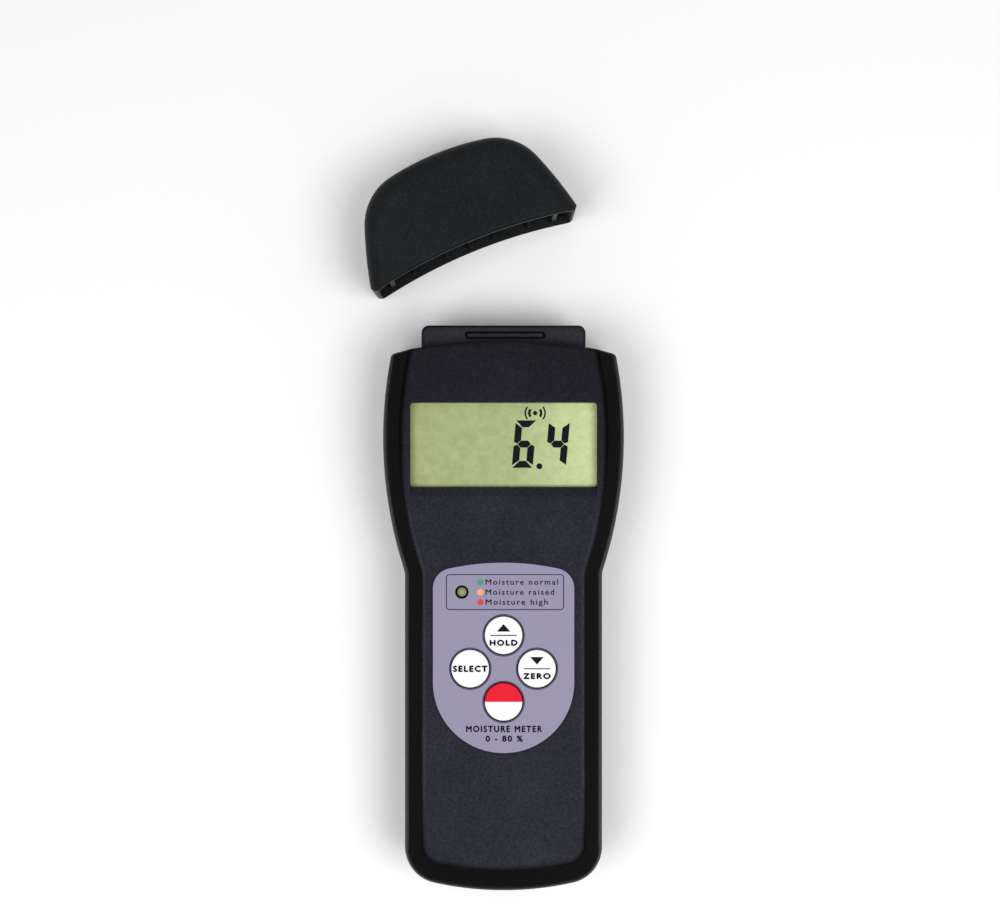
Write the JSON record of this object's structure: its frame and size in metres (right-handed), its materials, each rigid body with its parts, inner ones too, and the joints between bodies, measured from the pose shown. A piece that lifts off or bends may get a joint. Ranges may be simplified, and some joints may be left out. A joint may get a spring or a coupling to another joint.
{
  "type": "moisture meter",
  "caption": "Hand-held wood moisture meter with an LCD window, round keys on a printed foil, a sensor block at the top end, a sliding battery door and a pull-off protective cap.",
  "frame": {"origin": "centre of the casing's length and width, on its flat back", "axes": "+X across the meter, +Y towards the sensor head, +Z out of the front face"},
  "size_m": [0.0663, 0.1924, 0.026],
  "materials": {
    "casing_black": "fine spark texture",
    "head_black": "satin",
    "cap_black": "satin",
    "clear_pane": "polished",
    "lcd_glass": "matt reflective film behind",
    "frame_plastic": "moulded",
    "contact_rubber": "conductive stripes",
    "foil": "printed satin film",
    "key_white": "printed",
    "plunger_plastic": "moulded",
    "switch_body": "moulded",
    "led_lens": "tinted, unlit",
    "board_green": "solder mask",
    "cable_white": "flat flexible cable",
    "can_metal": "drawn",
    "electrode_metal": "tinned",
    "cell_wrap": "plain sleeve",
    "spring_steel": "nickel plated",
    "screw_steel": "black zinc"
  },
  "bodies": {
    "meter": {"front_casing": "casing_black", "rear_casing": "casing_black", "sensor_head": "head_black", "display_window": "clear_pane", "lcd_panel": "lcd_glass", "lcd_frame": "frame_plastic", "lcd_contact_strips": "contact_rubber", "keypad_overlay": "foil", "tact_switches": "switch_body", "buzzer": "switch_body", "controller_chip": "switch_body", "status_led": "led_lens", "main_board": "board_green", "sensor_board": "board_green", "sensor_cable": "cable_white", "crystal": "can_metal", "capacitors": "can_metal", "sensor_electrodes": "electrode_metal", "battery_cell_1": "cell_wrap", "battery_cell_2": "cell_wrap", "battery_cell_3": "cell_wrap", "battery_cell_4": "cell_wrap", "battery_springs": "spring_steel", "battery_contacts": "spring_steel", "case_screws": "screw_steel", "board_screws": "screw_steel"},
    "battery_door": {"battery_door": "casing_black"},
    "protective_cap": {"protective_cap": "cap_black"},
    "hold_key": {"key_hold": "key_white", "plunger_hold": "plunger_plastic"},
    "select_key": {"key_select": "key_white", "plunger_select": "plunger_plastic"},
    "zero_key": {"key_zero": "key_white", "plunger_zero": "plunger_plastic"},
    "power_key": {"key_power": "key_white", "plunger_power": "plunger_plastic"}
  },
  "joints": [
    {"name": "door_slide", "type": "slide", "parent": "meter", "child": "battery_door", "axis": [0, -1, 0], "range_m": [0, 0.066]},
    {"name": "cap_removal", "type": "hinge", "parent": "meter", "child": "protective_cap", "pos_m": [-0.0683, 0.0624, 0], "axis": [0, 0, 1], "range_deg": [-22.25, 0]},
    {"name": "hold_press", "type": "slide", "parent": "meter", "child": "hold_key", "axis": [0, 0, -1], "range_m": [0, 0.0005], "stiffness_N_per_m": 400, "springref_m": -0.002},
    {"name": "select_press", "type": "slide", "parent": "meter", "child": "select_key", "axis": [0, 0, -1], "range_m": [0, 0.0005], "stiffness_N_per_m": 400, "springref_m": -0.002},
    {"name": "zero_press", "type": "slide", "parent": "meter", "child": "zero_key", "axis": [0, 0, -1], "range_m": [0, 0.0005], "stiffness_N_per_m": 400, "springref_m": -0.002},
    {"name": "power_press", "type": "slide", "parent": "meter", "child": "power_key", "axis": [0, 0, -1], "range_m": [0, 0.0005], "stiffness_N_per_m": 400, "springref_m": -0.002}
  ]
}
